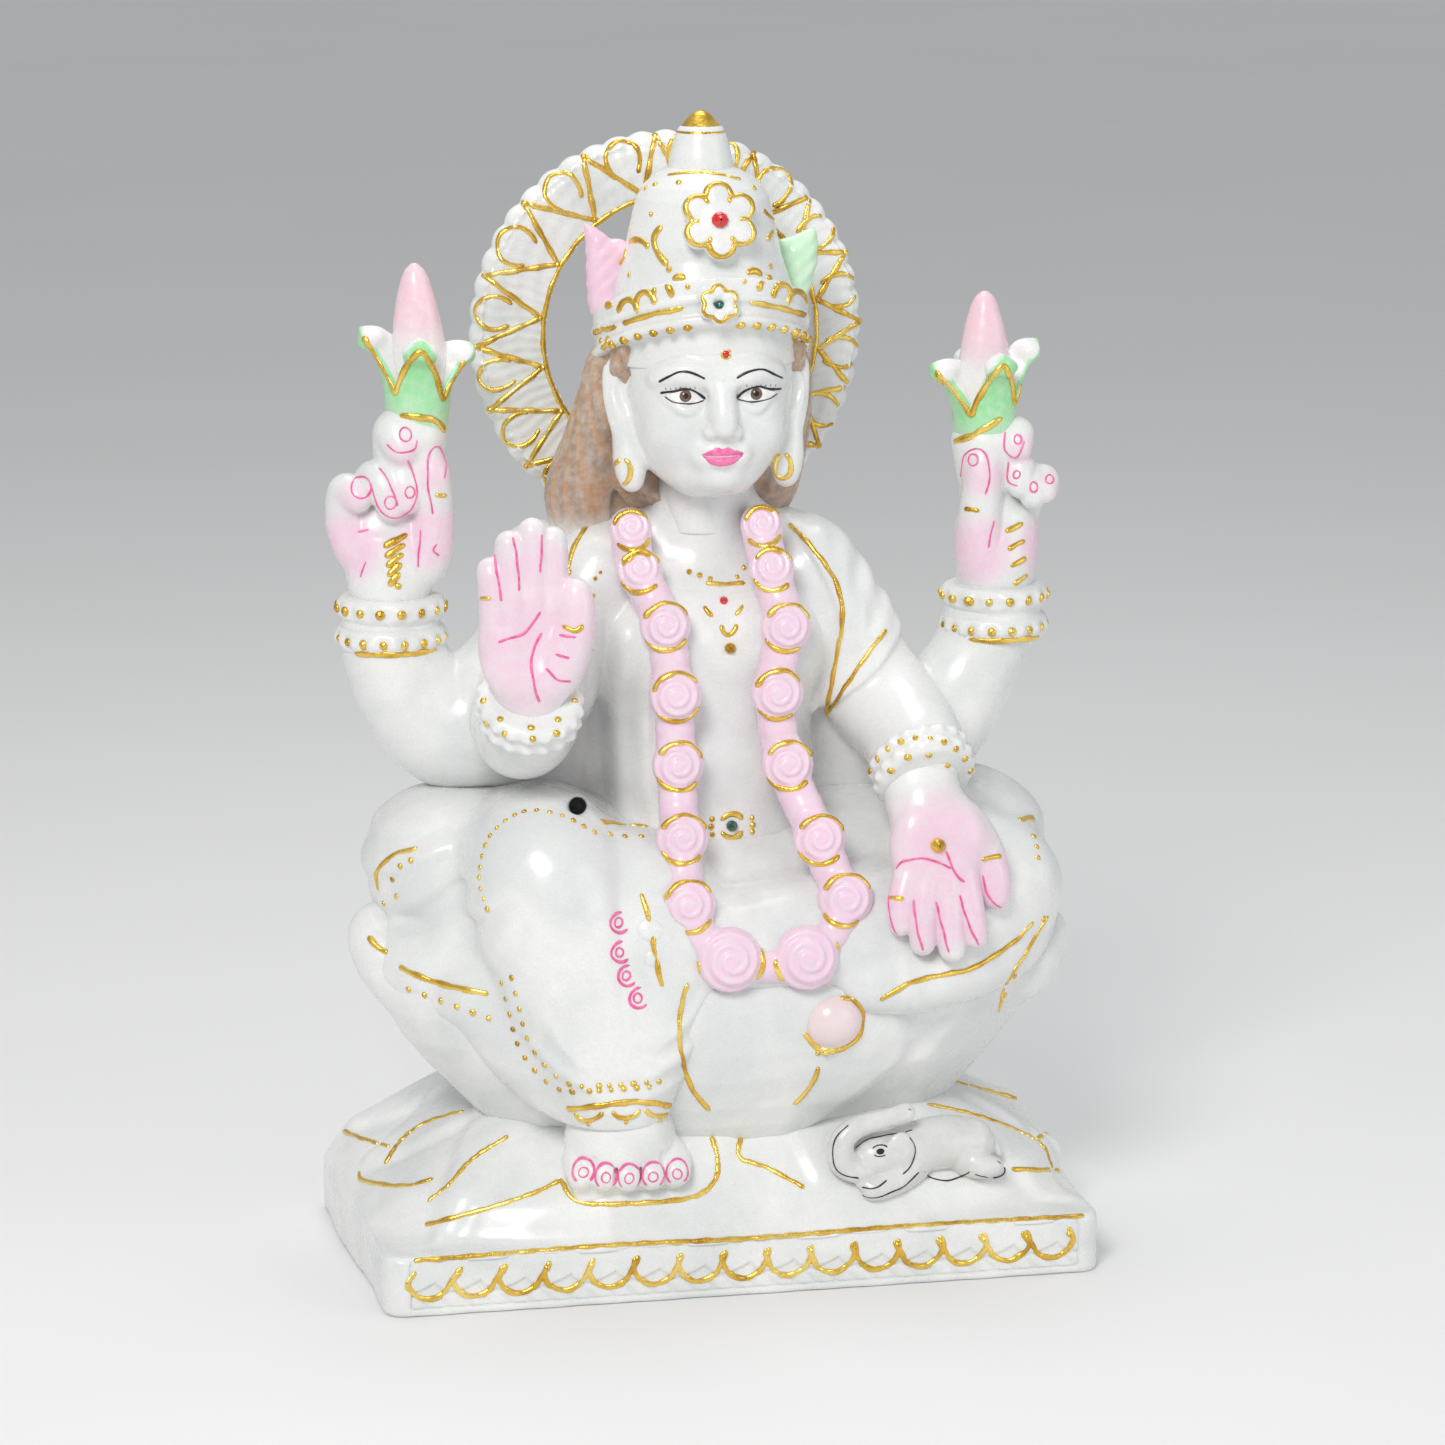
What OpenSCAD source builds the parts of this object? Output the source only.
// Seated four-armed goddess on a lotus, carved in white marble and painted.
// Frame: +Z up, front faces -Y, origin on the ground under the middle of the plinth.
// "right" and "left" are the figure's own sides: her right is at -X.

/* [Overall] */
// Height from the ground to the finial tip
statue_h = 307; // [150:1:620]

/* [Plinth] */
// Width of the plinth
plinth_w = 190; // [186:1:200]
// Depth of the plinth
plinth_d = 104; // [102:1:116]
// Height of the plinth slab
plinth_h = 16; // [15:0.5:18]
// Radius of the plinth's upright corners
plinth_corner_r = 9; // [4:1:14]
// Number of scallops in the front frieze
scallop_count = 14; // [8:1:18]

/* [Lotus seat] */
// Width of the lotus bowl at its rim
seat_w = 190; // [180:1:196]
// Depth of the lotus bowl at its rim
seat_d = 98; // [92:1:102]
// Height of the underside of the bowl
seat_z = 40; // [37:0.5:42]
// Height of the rim of the bowl
seat_rim_z = 86; // [84:0.5:90]

/* [Halo] */
// Outer radius of the halo ring
halo_r = 54; // [50:0.5:56]
// Width of the halo's band
halo_band = 17.5; // [13:0.5:20]
// Thickness of the halo
halo_t = 8; // [5:0.5:10]
// Number of beads round the halo's rim
bead_count = 48; // [24:4:60]
// Number of gold zigzag teeth on the halo
tooth_count = 16; // [8:1:24]

/* [Crown] */
// Radius of the crown's band
crown_r = 30; // [28.5:0.5:31]
// Radius of the crown's flat top
crown_top_r = 17; // [16:0.5:20]

/* [Garland] */
// Radius of one rose
rose_r = 7.4; // [6:0.1:8]
// Radius of the garland's round tassel
tassel_r = 8; // [6:0.5:9]

/* [Arms] */
// Radius of the bangles on the raised rear arms
bangle_r = 14; // [13:0.5:15]
// Radius of the cuffs on the front arms
cuff_r = 14; // [13:0.5:15]

/* [Stones] */
// Radius of the stone in the crown flower
big_stone_r = 2.2; // [1.5:0.1:2.6]
// Radius of the other stones
small_stone_r = 1.5; // [1:0.1:2]

/* [Hidden] */
NODES = [
    "plinth", "plinth_frieze", "plinth_gold", "base_petals", "lotus_seat",
    "lower_garment", "right_leg", "left_leg", "right_foot", "left_foot", "anklet",
    "torso", "shawl", "head", "hair", "ear_drops",
    "crown_band", "crown_dome", "crown_flower", "crown_finial", "finial_tip",
    "crown_leaf_right", "crown_leaf_left",
    "halo_ring", "halo_beads", "halo_gold",
    "rear_upper_arm_right", "rear_upper_arm_left", "rear_forearm_right", "rear_forearm_left",
    "rear_bangle_right", "rear_bangle_left", "rear_hand_right", "rear_hand_left",
    "lotus_calyx_right", "lotus_calyx_left", "lotus_bud_right", "lotus_bud_left",
    "front_arm_right", "front_arm_left", "front_cuff_right", "front_cuff_left",
    "front_hand_right", "front_hand_left", "palm_bead",
    "garland", "garland_tassel", "necklace", "belt", "elephant",
    "crown_red_stone", "crown_green_stone", "necklace_stone", "belt_stone", "forehead_mark"
];
node = "all";

// All places below are drawn for a statue this tall and scaled to statue_h
drawn_h = 307;
unit = statue_h / drawn_h;

marble = "whitesmoke";
gold = "goldenrod";
pink = "pink";
green = "palegreen";

// Facets on the balls that organic shapes are drawn from
ball_n = 12;
// Facets on true round parts
round_n = 48;
// Height of gold relief over the marble
relief = 0.6;

// Plinth
frieze_t = 1.5;
frieze_z = 2;
frieze_h = 12.5;
frieze_w = plinth_w - 2 * plinth_corner_r;
scallop_pitch = frieze_w / scallop_count;

// Crown
band_z = [250.5, 262];
crown_top_z = 289;
finial_top_z = 302;
finial_r = [8.8, 6.5];
finial_c = [-1, 4];
crown_c = [-2, 0];
leaf_x = 28;

// Face by the canon of sixteen parts from the neck's base to the hairline: four for the neck, twelve for the face
neck_base_z = 196;
chin_z = neck_base_z + (band_z[0] - neck_base_z) * 4 / 16;
jaw_r = [10, 10, 7];

// Halo: a ring standing behind the head, its axis along Y
halo_c = [-3, 36, 245];
halo_front_y = halo_c[1] - halo_t / 2;
halo_in_r = halo_r - halo_band;
rim_bead_r = 0.9 * PI * halo_r / bead_count;
halo_rim_r = halo_r - rim_bead_r;

// Rear arms, each a chain of [x, y, z, radius] from shoulder to wrist
rear_upper_right = [[-24, 13, 182, 17], [-36, 13, 168, 17.5], [-50, 13, 150, 17.5], [-63, 13, 144, 16], [-72, 13, 143, 15]];
rear_upper_left = [[24, 13, 178, 16], [34, 13, 162, 17], [46, 13, 145, 17.5], [59, 13, 139, 16.5], [70, 13, 139, 14.5]];
rear_fore_right = [[-74.5, 13, 146, 14.5], [-77.5, 14, 154, 14], [-81.5, 14, 163, 13], [-83, 14, 170, 12.5]];
rear_fore_left = [[72, 13, 142, 15.5], [76, 14, 150, 14.5], [80.5, 14, 160, 13.5], [82.5, 14, 167, 12.5]];
wrist_z_right = 167;
wrist_z_left = 164;
bangle_h = 12;

// Lotus buds held by the rear hands: [x, y, z] of the calyx foot
bud_foot_right = [-77, 14, 226];
bud_foot_left = [79.5, 14, 219];
calyx_h = 16;
bud_h_right = 40;
bud_h_left = 36;

// Front arms, from shoulder over the elbow to the wrist
front_right = [[-32, 2, 184, 14], [-42, 1, 170, 14.5], [-51, 1, 154, 15], [-54, -6, 146, 14], [-54, -18, 147, 12.5], [-54, -28, 151, 11.5]];
front_left = [[31, 2, 180, 14], [42, 1, 168, 14.5], [52, 2, 154, 15], [56, -4, 148, 14], [53, -14, 144, 12.5], [50, -23, 139, 11.5]];
cuff_right = [-54.5, -35, 157.5];
cuff_left = [49.5, -31, 134];
cuff_turn_right = [38, 0, 0];
cuff_turn_left = [128, 0, 8];
cuff_h = 8;

// Garland strands as [x, y, z], from the shoulders down to the lap
strand_right = [[-23, -12, 198], [-21, -17, 189], [-16, -24, 176], [-14, -26, 157], [-13.5, -27, 139], [-14, -32, 120], [-15, -40, 104]];
strand_left = [[16, -14, 197], [17, -18, 188], [17, -24, 174], [14.5, -26, 157], [16.5, -27, 137], [22.5, -33, 119], [28, -39, 104]];
strand_front = [[-4.5, -46, 91], [16.5, -46.5, 89.5]];
tassel_c = [24, -44, 71.5];

// Tests a node's name against the one that is asked for
function wanted(name) = node == "all" || node == name;

// Plain building blocks -------------------------------------------------

module sized() {
    scale(unit) children();
}

module ball(p) {
    translate([p[0], p[1], p[2]]) sphere(p[3], $fn = ball_n);
}

module egg(c, r, turn = [0, 0, 0]) {
    translate(c) rotate(turn) scale(r) sphere(1, $fn = ball_n);
}

// A chain of balls [x, y, z, radius], each pair joined by a hull
module limb(balls) {
    for (i = [0 : len(balls) - 2])
        hull() {
            ball(balls[i]);
            ball(balls[i + 1]);
        }
}

// A chain of eggs, one centre and one set of three radii for each, joined by hulls
module egg_chain(places, sizes) {
    for (i = [0 : len(places) - 2])
        hull() {
            egg(places[i], sizes[i]);
            egg(places[i + 1], sizes[i + 1]);
        }
}

// A thin elliptical slice used to stack up rounded bodies
module slice(z, rx, ry, c = [0, 0]) {
    translate([c[0], c[1], z]) scale([rx, ry, 1]) cylinder(r = 1, h = 0.1, $fn = 32);
}

// A half-round bar lying on the XY plane along X
module relief_bar(length, r = relief) {
    rotate([90, 0, 90]) linear_extrude(length, center = true) half_disc(r);
}

module half_disc(r) {
    intersection() {
        circle(r, $fn = 16);
        translate([-r, 0]) square([2 * r, r]);
    }
}

// A half-round arc lying on the XY plane
module relief_arc(r, angle, tube = relief) {
    rotate_extrude(angle = angle, $fn = round_n) translate([r, 0]) half_disc(tube);
}

// Turns a part drawn on the XY plane to stand on a plane facing the front
module facing_front(p) {
    translate(p) rotate([90, 0, 0]) children();
}

// Plinth and lotus ------------------------------------------------------

module plinth_outline() {
    inner_w = plinth_w - 2 * plinth_corner_r;
    inner_d = plinth_d - 2 * plinth_corner_r;
    square([plinth_w, inner_d], center = true);
    square([inner_w, plinth_d], center = true);
    for (x = [-1, 1], y = [-1, 1])
        translate([x * inner_w / 2, y * inner_d / 2]) circle(plinth_corner_r, $fn = round_n);
}

module frieze_pocket() {
    translate([-frieze_w / 2, -plinth_d / 2 - 1, frieze_z]) cube([frieze_w, frieze_t + 1, frieze_h]);
}

module plinth() {
    color(marble)
        difference() {
            linear_extrude(plinth_h) plinth_outline();
            frieze_pocket();
        }
}

module plinth_frieze() {
    back_t = frieze_t / 2;
    color(marble)
        translate([0, -plinth_d / 2 + frieze_t, frieze_z]) {
            translate([-frieze_w / 2, -back_t, 0]) cube([frieze_w, back_t, frieze_h]);
            for (i = [0 : scallop_count - 1])
                translate([(i + 0.5) * scallop_pitch - frieze_w / 2, 0, frieze_h / 2 + 0.4])
                    rotate([90, 0, 0]) cylinder(r = scallop_pitch * 0.44, h = frieze_t - relief, $fn = round_n);
        }
}

module plinth_gold() {
    arc_r = scallop_pitch * 0.36;
    color(gold) {
        facing_front([0, -plinth_d / 2, plinth_h - 0.75]) relief_bar(frieze_w - 2);
        for (i = [0 : scallop_count - 1])
            facing_front([(i + 0.5) * scallop_pitch - frieze_w / 2, -plinth_d / 2 + relief, frieze_z + frieze_h / 2 + 0.4])
                rotate(180) relief_arc(arc_r, 180);
    }
}

module petal(angle, reach, tip_z) {
    rotate(angle) {
        hull() {
            egg([reach * 0.45, 0, 24], [14, 20, 8]);
            egg([reach * 0.72, 0, 21], [13, 17, 6]);
        }
        hull() {
            egg([reach * 0.72, 0, 21], [13, 17, 6]);
            egg([reach - 3, 0, tip_z - 2], [3, 3, 2]);
        }
    }
}

module petals_form() {
    hull() {
        slice(plinth_h, plinth_w / 2 - 3, plinth_d / 2 - 3);
        slice(plinth_h + 8, 88, 48);
        slice(plinth_h + 17, 73, 42);
        slice(seat_z + 0.5, 57, 34);
    }
    petal(155, 100, 24);
    petal(176, 93, 19);
    petal(25, 100, 24);
    petal(4, 93, 19);
}

module plinth_column() {
    translate([0, 0, plinth_h]) linear_extrude(40) plinth_outline();
}

module base_petals() {
    color(marble)
        difference() {
            intersection() {
                union() petals_form();
                plinth_column();
            }
            seat_form();
            right_foot_form();
            right_leg_form();
            elephant_form();
        }
}

module seat_form() {
    rx = seat_w / 2;
    ry = seat_d / 2;
    hull() {
        slice(seat_z, rx * 0.58, ry * 0.62);
        slice(seat_z + 6, rx * 0.7, ry * 0.76);
        slice(seat_z + 15, rx * 0.8, ry * 0.87);
        slice(seat_z + 28, rx * 0.91, ry * 0.95);
        slice(seat_rim_z - 4, rx * 0.99, ry);
        slice(seat_rim_z, rx * 0.98, ry * 0.98);
    }
    // pointed petal tips at both ends of the rim
    for (side = [-1, 1])
        hull() {
            egg([side * (rx - 12), 4, seat_rim_z - 4], [8, 16, 5]);
            egg([side * (rx - 3), 4, seat_rim_z], [3, 5, 4.5]);
        }
}

module lotus_seat() {
    color(marble)
        difference() {
            union() seat_form();
            lower_garment_form();
            right_leg_form();
            left_leg_form();
            front_hand_left_form();
            garland_form();
            tassel_form();
        }
}

// Lower body ------------------------------------------------------------

module lower_garment_form() {
    for (side = [-1, 1]) {
        hull() {
            egg([side * 62, 9, 103], [30, 31, 24]);
            egg([side * 40, 8, 104], [30, 32, 23]);
        }
        hull() {
            egg([side * 40, 8, 104], [30, 32, 23]);
            egg([0, 4, 102], [34, 32, 18]);
        }
    }
}

module lower_garment() {
    color(marble)
        difference() {
            union() lower_garment_form();
            right_leg_form();
            left_leg_form();
            torso_form();
            garland_form();
            front_hand_left_form();
            rear_upper_arm_form(rear_upper_right);
            rear_upper_arm_form(rear_upper_left);
        }
}

module right_leg_form() {
    places = [[-44, 2, 106], [-46, -16, 111], [-46.5, -28, 111], [-45.5, -31, 103],
        [-44.5, -32, 91], [-42, -33, 77], [-37.5, -34.5, 65], [-33, -36, 57]];
    sizes = [[20, 20, 20], [20, 20, 19], [20, 20, 19], [21.5, 19, 19],
        [22.5, 18, 18], [21.5, 17, 17], [17.5, 15, 15], [14.6, 13.5, 10]];
    egg_chain(places, sizes);
}

module right_leg() {
    color(marble)
        difference() {
            union() right_leg_form();
            right_foot_form();
            left_foot_form();
            torso_form();
            garland_form();
            front_arm_form(front_right);
            rear_upper_arm_form(rear_upper_right);
        }
}

module left_leg_form() {
    limb([[36, 4, 100, 20], [60, -4, 99, 20], [78, -10, 97, 17], [72, -19, 96, 16.5],
        [52, -27, 93, 16], [30, -30, 91, 15], [8, -31, 90, 14], [-8, -33, 89, 12.5]]);
}

module left_leg() {
    color(marble)
        difference() {
            union() left_leg_form();
            right_leg_form();
            left_foot_form();
            torso_form();
            garland_form();
            tassel_form();
            front_hand_left_form();
            rear_upper_arm_form(rear_upper_left);
        }
}

module right_foot_form() {
    toe_x = [-42, -36.5, -31, -25.5, -20];
    hull() {
        ball([-33, -36, 50, 13.5]);
        ball([-33, -32, 34, 11]);
    }
    hull() {
        ball([-33, -36, 50, 13.5]);
        egg([-31, -40, 33], [15, 8, 7]);
    }
    for (i = [0 : 4])
        hull() {
            ball([toe_x[i], -40, 33, 5]);
            ball([toe_x[i], -46, 30.5, 3.8]);
        }
}

module right_foot() {
    color(marble)
        difference() {
            union() right_foot_form();
            anklet_form();
            translate([-60, -80, 51]) cube([60, 80, 40]);
        }
}

module anklet_form() {
    translate([-32.8, -36, 48]) cylinder(r = 14.6, h = 3, $fn = round_n);
}

module anklet() {
    color(gold) anklet_form();
}

module left_foot_form() {
    toe_z = [99, 93, 86.5, 80.5];
    hull() {
        ball([-8, -35, 89, 11]);
        ball([-22, -39, 90, 10]);
    }
    for (z = toe_z)
        hull() {
            ball([-22, -40, 90, 8.5]);
            ball([-30, -46, z, 4.2]);
        }
    for (z = toe_z)
        hull() {
            ball([-26, -44.5, z, 4.2]);
            ball([-32, -47, z, 3.6]);
        }
}

module left_foot() {
    color(marble)
        difference() {
            union() left_foot_form();
            garland_form();
            torso_form();
        }
}

// Upper body ------------------------------------------------------------

module torso_form() {
    places = [[0, 2, 112], [0, 1, 124], [0, 0, 148], [0, 1, 170], [0, 5, 184], [0, 3, 195]];
    sizes = [[31, 23, 9], [29, 21, 10], [34, 23, 14], [38, 22, 12], [36, 15, 10], [17, 13, 8]];
    egg_chain(places, sizes);
}

module torso() {
    color(marble)
        difference() {
            union() torso_form();
            head_form();
            hair_form();
            garland_form();
            front_arm_form(front_right);
            front_arm_form(front_left);
            rear_upper_arm_form(rear_upper_right);
            rear_upper_arm_form(rear_upper_left);
        }
}

module shawl() {
    color(marble)
        difference() {
            limb([[26, 3, 190, 7], [37, 5, 185, 8.5], [45, 2, 173, 8], [49, 0, 164, 5],
                [40, -9, 166, 7], [31, -17, 152, 4.5], [30, -14, 170, 6.5], [27, -6, 187, 7]]);
            torso_form();
            hair_form();
            garland_form();
            front_arm_form(front_left);
            rear_upper_arm_form(rear_upper_left);
        }
}

// Head, hair and crown --------------------------------------------------

module head_form() {
    // skull and jaw
    hull() {
        egg([0, -3, 242], [23.5, 23, 22]);
        egg([0, -5, 226], [22, 20, 17]);
    }
    hull() {
        egg([0, -5, 226], [22, 20, 17]);
        egg([0, -13, chin_z + jaw_r[2]], jaw_r);
    }
    // ears
    for (side = [-1, 1])
        hull() {
            egg([side * 23.5, 0, 233], [2.5, 4, 6]);
            egg([side * 23, -2, 220], [2.5, 3, 5]);
        }
    // neck
    hull() {
        ball([0, 0, 210, 13]);
        ball([0, 1, neck_base_z, 14]);
    }
}

module head() {
    color(marble)
        difference() {
            union() head_form();
            above_band();
        }
}

module above_band() {
    translate([-60, -60, band_z[0]]) cube([120, 120, 60]);
}

module hair_form() {
    hull() {
        egg([-1, 4, 240], [32, 24, 20]);
        egg([-1, 8, 222], [31, 20, 18]);
    }
    hull() {
        egg([-1, 8, 222], [31, 20, 18]);
        egg([-29, 13, 205], [9, 12, 9]);
    }
    hull() {
        egg([-1, 8, 222], [31, 20, 18]);
        egg([24, 13, 203], [8, 12, 9]);
    }
    // long hair down the back
    hull() {
        egg([-1, 12, 222], [28, 19, 18]);
        egg([-1, 22, 196], [25, 11, 12]);
    }
    hull() {
        egg([-1, 22, 196], [25, 11, 12]);
        egg([0, 22, 158], [14, 8, 12]);
    }
}

module hair() {
    color("peru")
        difference() {
            union() hair_form();
            head_form();
            above_band();
            halo_space();
            // the face stays open between the two side locks
            hull() {
                egg([0, -18, 236], [24.5, 18, 26]);
                egg([0, -20, 205], [22, 14, 16]);
            }
            garland_form();
            front_arm_form(front_right);
            rear_upper_arm_form(rear_upper_right);
            rear_upper_arm_form(rear_upper_left);
        }
}

// The ring's own space, filled across its opening above the lowest part
module halo_space() {
    translate(halo_c) rotate([90, 0, 0]) {
        cylinder(r = halo_r, h = halo_t, center = true, $fn = round_n);
    }
}

module ear_drops() {
    color(gold)
        for (side = [-1, 1])
            facing_front([side * 24, -6.5, 213])
                rotate_extrude($fn = round_n) translate([2.6, 0]) circle(0.9, $fn = 24);
}

module crown_band() {
    r = crown_r;
    color(marble)
        translate([crown_c[0], crown_c[1], 0])
            rotate_extrude($fn = round_n)
                polygon([[0, band_z[0]], [r - 1.5, band_z[0]], [r, band_z[0] + 2], [r, band_z[1] - 3],
                    [r - 1.5, band_z[1]], [0, band_z[1]]]);
}

module crown_dome() {
    steps = 8;
    side = [for (i = [0 : steps])
        let (t = i / steps)
        [crown_r - 1.5 - (crown_r - 1.5 - crown_top_r) * pow(t, 1.25), band_z[1] + (crown_top_z - 1.5 - band_z[1]) * t]];
    color(marble)
        difference() {
            translate([crown_c[0], crown_c[1], 0])
                rotate_extrude($fn = round_n)
                    polygon(concat([[0, band_z[1]]], side, [[crown_top_r - 1.5, crown_top_z], [0, crown_top_z]]));
            crown_flower_solid();
        }
}

// Six-petal flower standing on the front of the crown
module crown_flower_solid() {
    petal_r = 4.4;
    reach = 5.8;
    translate([crown_c[0], -19.5, 279.5]) rotate([72, 0, 0])
        linear_extrude(4.5) {
            circle(reach, $fn = round_n);
            for (i = [0 : 5])
                rotate(90 + 60 * i) translate([reach, 0]) circle(petal_r, $fn = 24);
        }
}

module crown_flower() {
    color(marble) crown_flower_solid();
}

module crown_finial() {
    color(marble)
        translate([finial_c[0], finial_c[1], crown_top_z])
            cylinder(r1 = finial_r[0], r2 = finial_r[1], h = finial_top_z - crown_top_z, $fn = round_n);
}

module finial_tip() {
    h = drawn_h - finial_top_z;
    r = finial_r[1];
    steps = 8;
    dome = [for (i = [0 : steps]) [r * cos(90 * i / steps), h * sin(90 * i / steps)]];
    color(gold)
        translate([finial_c[0], finial_c[1], finial_top_z])
            rotate_extrude($fn = round_n) polygon(concat([[0, 0]], dome));
}

module crown_leaf(side, h) {
    translate([side * leaf_x, 5, band_z[1]])
        rotate([0, side * 4, 0])
            rotate_extrude($fn = round_n)
                polygon([[0, 0], [4.6, 0], [5, h * 0.25], [4.4, h * 0.55], [2.6, h * 0.85], [0, h]]);
}

module crown_leaf_right() {
    color(pink)
        difference() {
            crown_leaf(-1, 20);
            crown_cone_space();
        }
}

module crown_leaf_left() {
    color(green)
        difference() {
            crown_leaf(1, 18);
            crown_cone_space();
        }
}

// The dome's outer shape, grown from the same two radii
module crown_cone_space() {
    translate([crown_c[0], crown_c[1], band_z[1] - 2])
        cylinder(r1 = crown_r - 1, r2 = crown_top_r, h = crown_top_z - band_z[1] + 2, $fn = round_n);
}

// Halo ------------------------------------------------------------------

module halo_ring() {
    edge = 1.5;
    r = halo_rim_r;
    t = halo_t / 2;
    color(marble)
        translate(halo_c) rotate([90, 0, 0])
            rotate_extrude($fn = 96)
                polygon([[halo_in_r, edge - t], [halo_in_r + edge, -t], [r, -t], [r, t],
                    [halo_in_r + edge, t], [halo_in_r, t - edge]]);
}

// Scalloped rim: a row of round beads carved as one band round the ring
module halo_beads() {
    steps = 6;
    pitch = 360 / bead_count;
    rim = [for (i = [0 : bead_count - 1], j = [0 : steps - 1])
        let (a = pitch * (i + j / steps), out = rim_bead_r * sqrt(sin(180 * j / steps)))
        (halo_rim_r + 0.4 + out * 0.85) * [cos(a), sin(a)]];
    color(marble)
        translate(halo_c) rotate([90, 0, 0])
            linear_extrude(halo_t - 2, center = true)
                difference() {
                    polygon(rim);
                    circle(halo_rim_r, $fn = 96);
                }
}

module halo_gold() {
    inner = halo_in_r + 3.5;
    outer = halo_rim_r - 1.5;
    step = 360 / tooth_count;
    tooth_len = norm([outer - inner * cos(step / 2), inner * sin(step / 2)]);
    lean = atan2(inner * sin(step / 2), outer - inner * cos(step / 2));
    middle = [(outer + inner * cos(step / 2)) / 2, inner * sin(step / 2) / 2, 0];
    color(gold)
        facing_front([halo_c[0], halo_front_y, halo_c[2]]) {
            relief_arc(halo_in_r + 2, 360);
            for (i = [0 : tooth_count - 1], side = [-1, 1])
                rotate(step * i + 90)
                    translate([middle[0], side * middle[1], 0])
                        rotate(-side * lean) relief_bar(tooth_len - 3 * relief);
        }
}

// Rear arms -------------------------------------------------------------

module rear_upper_arm_form(chain) {
    limb(chain);
}

module rear_upper_arm(chain, fore, front_chain) {
    color(marble)
        difference() {
            union() rear_upper_arm_form(chain);
            limb(fore);
            front_arm_form(front_chain);
        }
}

module rear_forearm(chain, wrist_z) {
    color(marble)
        difference() {
            union() limb(chain);
            translate([-150, -40, wrist_z]) cube([300, 100, 60]);
        }
}

// Two-tier bangle, solid across the wrist, so the arm stops below it and the hand starts above it
module rear_bangle(x, z) {
    r = bangle_r;
    h = bangle_h;
    color(marble)
        translate([x, 14, z])
            rotate_extrude($fn = round_n)
                polygon([[0, 0], [r - 1.5, 0], [r, 1.5], [r, h * 0.42], [r - 1.2, h * 0.5], [r, h * 0.58],
                    [r, h - 1.5], [r - 1.5, h], [0, h]]);
}

// Hand that holds a bud upright: palm, two raised fingers and two curled ones
module rear_hand_form(side, x, z) {
    hull() {
        egg([x, 14, z + 3], [9.5, 9, 5]);
        egg([x - side * 1, 14, z + 20], [13, 9, 8]);
    }
    hull() {
        egg([x - side * 1, 14, z + 20], [13, 9, 8]);
        egg([x - side * 5, 14, z + 34], [8.5, 8, 6]);
    }
    hull() {
        egg([x - side * 5, 14, z + 34], [8.5, 8, 6]);
        egg([x - side * 6, 14, z + 42], [8, 8, 6]);
    }
    hull() {
        ball([x + side * 6, 10, z + 14, 6]);
        ball([x + side * 11.5, 9, z + 29, 4.8]);
    }
    hull() {
        ball([x + side * 11.5, 9, z + 29, 4.8]);
        ball([x + side * 8, 2, z + 26, 4.2]);
    }
    hull() {
        ball([x + side * 4, 6, z + 30, 5]);
        ball([x, 1, z + 22, 3.8]);
    }
    hull() {
        ball([x - side * 9, 7, z + 16, 4.6]);
        ball([x - side * 9, 5, z + 36, 3.6]);
    }
    hull() {
        ball([x - side * 4, 8, z + 42, 4.4]);
        ball([x - side * 2, 4, z + 37, 4]);
    }
}

module rear_hand(side, x, z, foot) {
    color(pink)
        difference() {
            union() rear_hand_form(side, x, z);
            translate([x - 20, -10, z - 10]) cube([40, 50, 10]);
            translate([foot[0] - 20, -10, foot[2]]) cube([40, 50, 20]);
        }
}

module lotus_calyx(foot, bud_h) {
    tip_count = 5;
    color(green)
        translate(foot) {
            difference() {
                cylinder(r1 = 8.5, r2 = 11, h = calyx_h, $fn = round_n);
                bud_solid(bud_h);
            }
            for (i = [0 : tip_count - 1])
                rotate(360 / tip_count * i + 18)
                    translate([9.3, 0, calyx_h]) rotate([0, 38, 0]) cylinder(r1 = 2.6, r2 = 0.6, h = 7, $fn = 16);
        }
}

// Ogive bud drawn from the calyx foot upward
module bud_solid(bud_h) {
    base = 5;
    steps = 8;
    side = [for (i = [0 : steps])
        let (t = i / steps)
        [8 * pow(cos(90 * t), 0.7), base + (bud_h - base) * pow(t, 0.92)]];
    rotate_extrude($fn = round_n) polygon(concat([[0, base]], side));
}

module lotus_bud(foot, bud_h) {
    color(pink) translate(foot) bud_solid(bud_h);
}

// Front arms ------------------------------------------------------------

module front_arm_form(chain) {
    limb(chain);
}

module front_arm(chain, cuff, turn, fore) {
    color(marble)
        difference() {
            union() front_arm_form(chain);
            cuff_solid(cuff, turn);
            beyond_cuff(cuff, turn);
            limb(fore);
        }
}

module cuff_solid(c, turn) {
    r = cuff_r;
    h = cuff_h;
    translate(c) rotate(turn)
        rotate_extrude($fn = round_n)
            polygon([[0, 0], [r - 1.2, 0], [r, 1.2], [r, h * 0.4], [r - 1, h * 0.5], [r, h * 0.6],
                [r, h - 1.2], [r - 1.2, h], [0, h]]);
}

module beyond_cuff(c, turn) {
    translate(c) rotate(turn) cylinder(r = 30, h = 40, $fn = round_n);
}

module before_cuff(c, turn) {
    translate(c) rotate(turn) translate([0, 0, cuff_h - 40]) cylinder(r = 30, h = 40, $fn = round_n);
}

module front_cuff(c, turn) {
    color(marble)
        difference() {
            cuff_solid(c, turn);
            lap_space();
        }
}

// The lap below the lowered wrist
module lap_space() {
    translate([30, -40, 60]) cube([50, 60, 58]);
}

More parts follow.
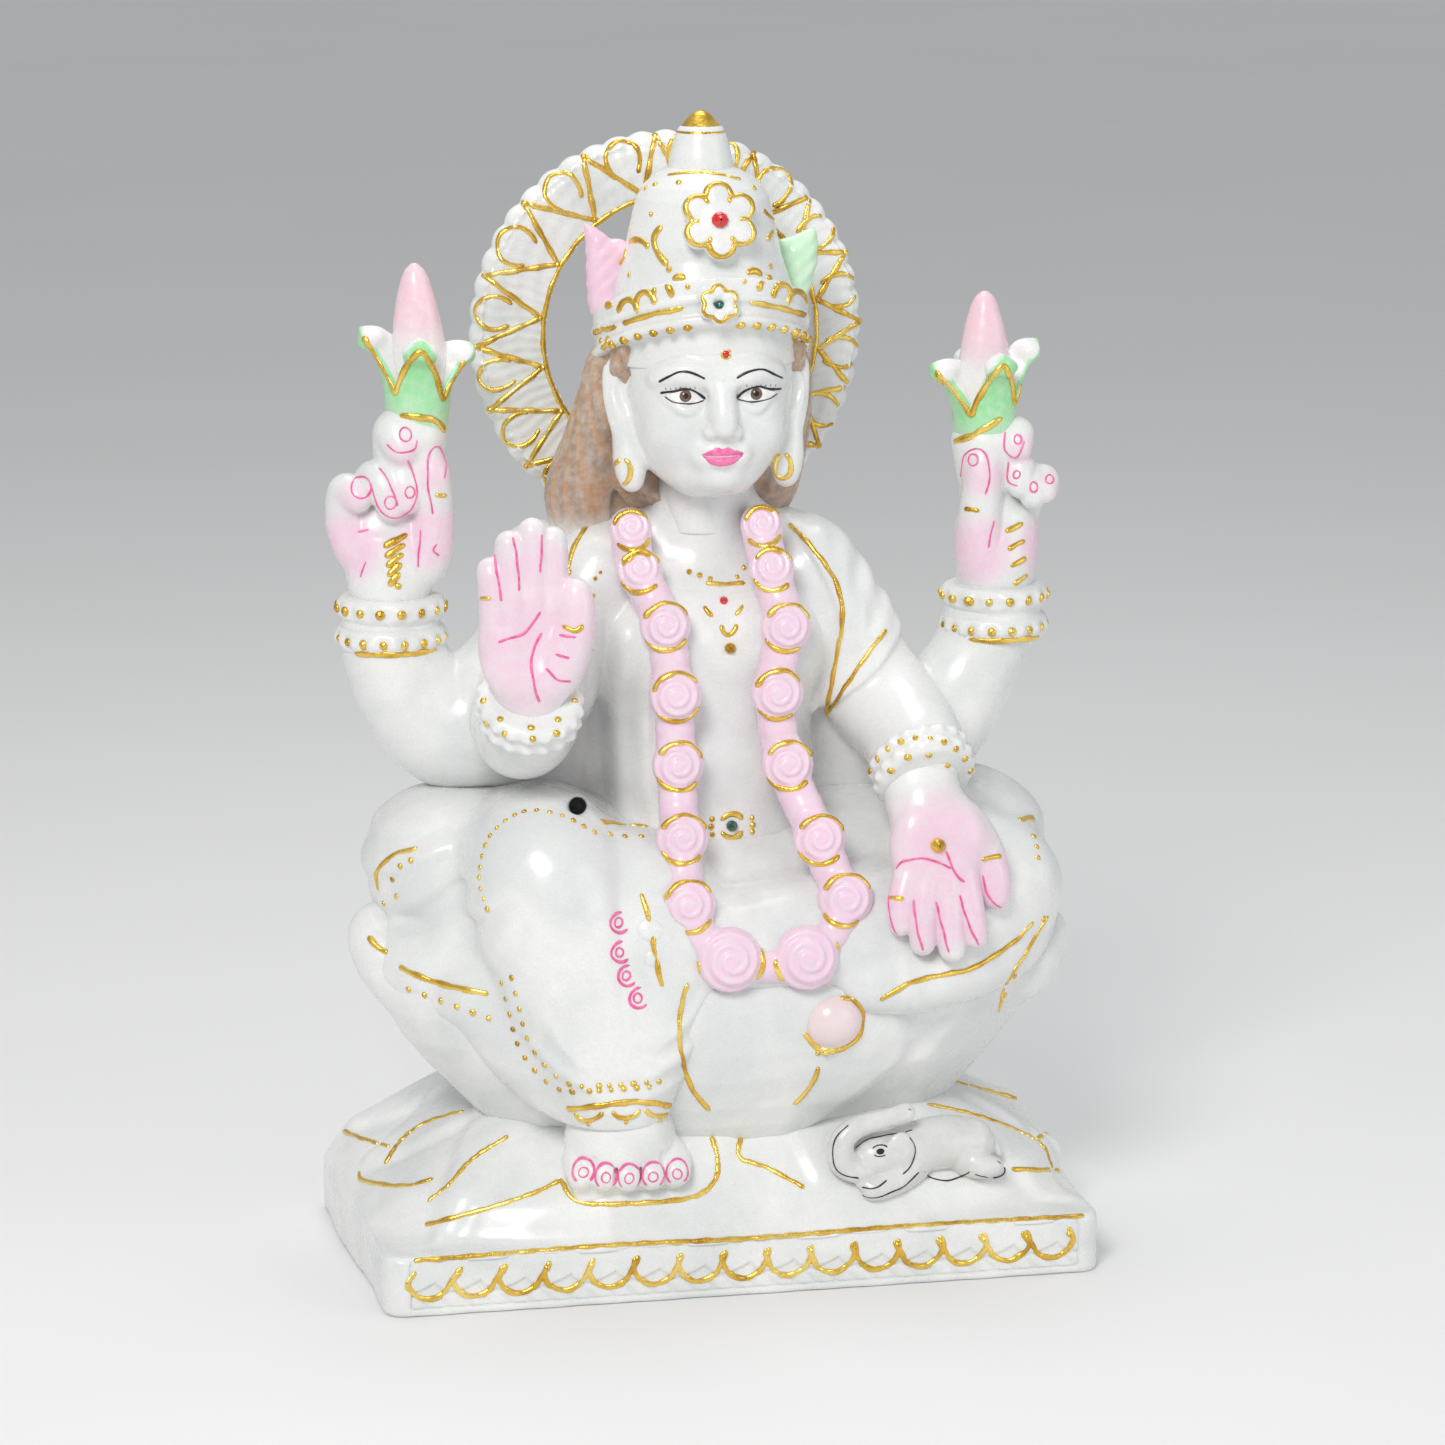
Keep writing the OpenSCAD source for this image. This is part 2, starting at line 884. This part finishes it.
module front_hand_right_form() {
    tips = [[-64, -37, 194, 4], [-58.8, -37, 201.5, 4.2], [-53.2, -37, 203.5, 4.2], [-47.8, -37, 200.5, 4.2]];
    roots = [[-62.5, -38, 184, 4.6], [-57.5, -38, 185, 4.6], [-52.5, -38, 185, 4.6], [-47.5, -38, 185, 4.6]];
    hull() {
        ball([-56, -39, 163, 7]);
        ball([-51, -39, 163, 7]);
        ball([-62, -38, 176, 5.5]);
        ball([-47, -38, 176, 5.5]);
    }
    hull() {
        ball([-62, -38, 176, 5.5]);
        ball([-47, -38, 176, 5.5]);
        ball(roots[0]);
        ball(roots[3]);
    }
    for (i = [0 : 3])
        hull() {
            ball(roots[i]);
            ball(tips[i]);
        }
    hull() {
        ball([-48, -40, 168, 5.5]);
        ball([-43.5, -41, 180, 4.2]);
    }
    hull() {
        ball([-43.5, -41, 180, 4.2]);
        ball([-43.5, -41, 188, 3.6]);
    }
}

module front_hand_left_form() {
    tips = [[42, -46, 100.5, 3.8], [48.3, -47, 92, 4], [55, -47.5, 89, 4], [61, -46, 93.5, 3.9]];
    roots = [[43.5, -42, 112, 4.6], [49, -43, 110, 4.8], [54.5, -43, 110, 4.8], [60, -42, 111, 4.6]];
    hull() {
        ball([46, -38, 129, 6.5]);
        ball([54, -37, 129, 6.5]);
        ball([43.5, -40, 117, 5.5]);
        ball([61, -39, 117, 5.5]);
    }
    hull() {
        ball([43.5, -40, 117, 5.5]);
        ball([61, -39, 117, 5.5]);
        ball(roots[0]);
        ball(roots[3]);
    }
    for (i = [0 : 3])
        hull() {
            ball(roots[i]);
            ball(tips[i]);
        }
    hull() {
        ball([59, -37, 122, 5.5]);
        ball([66, -38, 112, 4.4]);
    }
    hull() {
        ball([66, -38, 112, 4.4]);
        ball([68.5, -41, 103, 3.6]);
    }
}

module front_hand_right() {
    color(pink)
        difference() {
            union() front_hand_right_form();
            before_cuff(cuff_right, cuff_turn_right);
        }
}

module front_hand_left() {
    color(pink)
        difference() {
            union() front_hand_left_form();
            before_cuff(cuff_left, cuff_turn_left);
            translate([53, -48.5, 117.5]) sphere(2.2, $fn = 16);
        }
}

module palm_bead() {
    color(gold) translate([53, -48.5, 117.5]) sphere(2.2, $fn = 16);
}

// Garland and jewellery -------------------------------------------------

module rose(p) {
    egg(p, [rose_r, 4.5, rose_r * 1.05]);
}

module garland_form() {
    for (p = strand_right) rose(p);
    for (p = strand_left) rose(p);
    for (p = strand_front) rose(p);
    limb([for (p = concat(strand_right, strand_front)) [p[0], p[1] + 3, p[2], 4]]);
    limb([for (p = concat(strand_left, [strand_front[1]])) [p[0], p[1] + 3, p[2], 4]]);
}

module garland() {
    color(pink)
        difference() {
            union() garland_form();
            head_form();
        }
}

module tassel_form() {
    translate(tassel_c) sphere(tassel_r, $fn = 24);
}

module garland_tassel() {
    color(pink) tassel_form();
}

module necklace() {
    bead_xs = [-8, -4, 0, 4, 8];
    color(gold) {
        for (x = bead_xs)
            translate([x, -20.4, 186 + x * x / 24]) sphere(1, $fn = 16);
        facing_front([0, -21.8, 182.5]) relief_bar(10, 0.7);
        facing_front([0, -22.6, 175.5]) rotate(180) relief_arc(2.2, 180, 0.7);
        translate([0, -23.2, 168.5]) sphere(1.9, $fn = 24);
    }
}

module necklace_stone() {
    color("crimson") translate([0, -22.2, 180]) sphere(small_stone_r, $fn = 16);
}

module belt() {
    arc_r = 3.6;
    color(gold)
        for (turn = [30, 150, 270])
            facing_front([0, -22.3, 121]) rotate(turn) relief_arc(arc_r, 80, 0.8);
}

module belt_stone() {
    color("seagreen") translate([0, -22.3, 121]) sphere(small_stone_r, $fn = 16);
}

module crown_red_stone() {
    color("crimson") translate([crown_c[0], -24, 281]) sphere(big_stone_r, $fn = 16);
}

module crown_green_stone() {
    color("seagreen") translate([-3, crown_c[1] - crown_r + 0.4, 260]) sphere(small_stone_r, $fn = 16);
}

module forehead_mark() {
    color("crimson") facing_front([-1.5, -25.9, 246.6]) cylinder(r = 1.5, h = 0.6, $fn = 16);
}

// Elephant --------------------------------------------------------------

module elephant_form() {
    limb([[64, -35, 33, 8], [58, -36, 34, 9], [50, -37, 34, 8.5], [42, -39, 34, 8], [34, -41, 33, 8]]);
    // trunk curled up and back over the head
    limb([[28, -43, 30, 4], [24.5, -43, 36, 3.6], [27, -43, 41, 3.2], [34, -43, 43, 3], [43, -42, 45, 2.8]]);
    // fore and hind feet
    limb([[43, -41, 29, 5], [36, -45, 26, 2.8]]);
    limb([[62, -37, 29, 5.5], [68, -40, 28, 3]]);
}

module elephant() {
    color("lightgray")
        union() elephant_form();
}

// Assembly --------------------------------------------------------------

if (wanted("plinth")) sized() plinth();
if (wanted("plinth_frieze")) sized() plinth_frieze();
if (wanted("plinth_gold")) sized() plinth_gold();
if (wanted("base_petals")) sized() base_petals();
if (wanted("lotus_seat")) sized() lotus_seat();
if (wanted("lower_garment")) sized() lower_garment();
if (wanted("right_leg")) sized() right_leg();
if (wanted("left_leg")) sized() left_leg();
if (wanted("right_foot")) sized() right_foot();
if (wanted("left_foot")) sized() left_foot();
if (wanted("anklet")) sized() anklet();
if (wanted("torso")) sized() torso();
if (wanted("shawl")) sized() shawl();
if (wanted("head")) sized() head();
if (wanted("hair")) sized() hair();
if (wanted("ear_drops")) sized() ear_drops();
if (wanted("crown_band")) sized() crown_band();
if (wanted("crown_dome")) sized() crown_dome();
if (wanted("crown_flower")) sized() crown_flower();
if (wanted("crown_finial")) sized() crown_finial();
if (wanted("finial_tip")) sized() finial_tip();
if (wanted("crown_leaf_right")) sized() crown_leaf_right();
if (wanted("crown_leaf_left")) sized() crown_leaf_left();
if (wanted("halo_ring")) sized() halo_ring();
if (wanted("halo_beads")) sized() halo_beads();
if (wanted("halo_gold")) sized() halo_gold();
if (wanted("rear_upper_arm_right")) sized() rear_upper_arm(rear_upper_right, rear_fore_right, front_right);
if (wanted("rear_upper_arm_left")) sized() rear_upper_arm(rear_upper_left, rear_fore_left, front_left);
if (wanted("rear_forearm_right")) sized() rear_forearm(rear_fore_right, wrist_z_right);
if (wanted("rear_forearm_left")) sized() rear_forearm(rear_fore_left, wrist_z_left);
if (wanted("rear_bangle_right")) sized() rear_bangle(-83, wrist_z_right);
if (wanted("rear_bangle_left")) sized() rear_bangle(82.5, wrist_z_left);
if (wanted("rear_hand_right")) sized() rear_hand(-1, -83, wrist_z_right + bangle_h, bud_foot_right);
if (wanted("rear_hand_left")) sized() rear_hand(1, 83, wrist_z_left + bangle_h, bud_foot_left);
if (wanted("lotus_calyx_right")) sized() lotus_calyx(bud_foot_right, bud_h_right);
if (wanted("lotus_calyx_left")) sized() lotus_calyx(bud_foot_left, bud_h_left);
if (wanted("lotus_bud_right")) sized() lotus_bud(bud_foot_right, bud_h_right);
if (wanted("lotus_bud_left")) sized() lotus_bud(bud_foot_left, bud_h_left);
if (wanted("front_arm_right")) sized() front_arm(front_right, cuff_right, cuff_turn_right, rear_fore_right);
if (wanted("front_arm_left")) sized() front_arm(front_left, cuff_left, cuff_turn_left, rear_fore_left);
if (wanted("front_cuff_right")) sized() front_cuff(cuff_right, cuff_turn_right);
if (wanted("front_cuff_left")) sized() front_cuff(cuff_left, cuff_turn_left);
if (wanted("front_hand_right")) sized() front_hand_right();
if (wanted("front_hand_left")) sized() front_hand_left();
if (wanted("palm_bead")) sized() palm_bead();
if (wanted("garland")) sized() garland();
if (wanted("garland_tassel")) sized() garland_tassel();
if (wanted("necklace")) sized() necklace();
if (wanted("belt")) sized() belt();
if (wanted("elephant")) sized() elephant();
if (wanted("crown_red_stone")) sized() crown_red_stone();
if (wanted("crown_green_stone")) sized() crown_green_stone();
if (wanted("necklace_stone")) sized() necklace_stone();
if (wanted("belt_stone")) sized() belt_stone();
if (wanted("forehead_mark")) sized() forehead_mark();
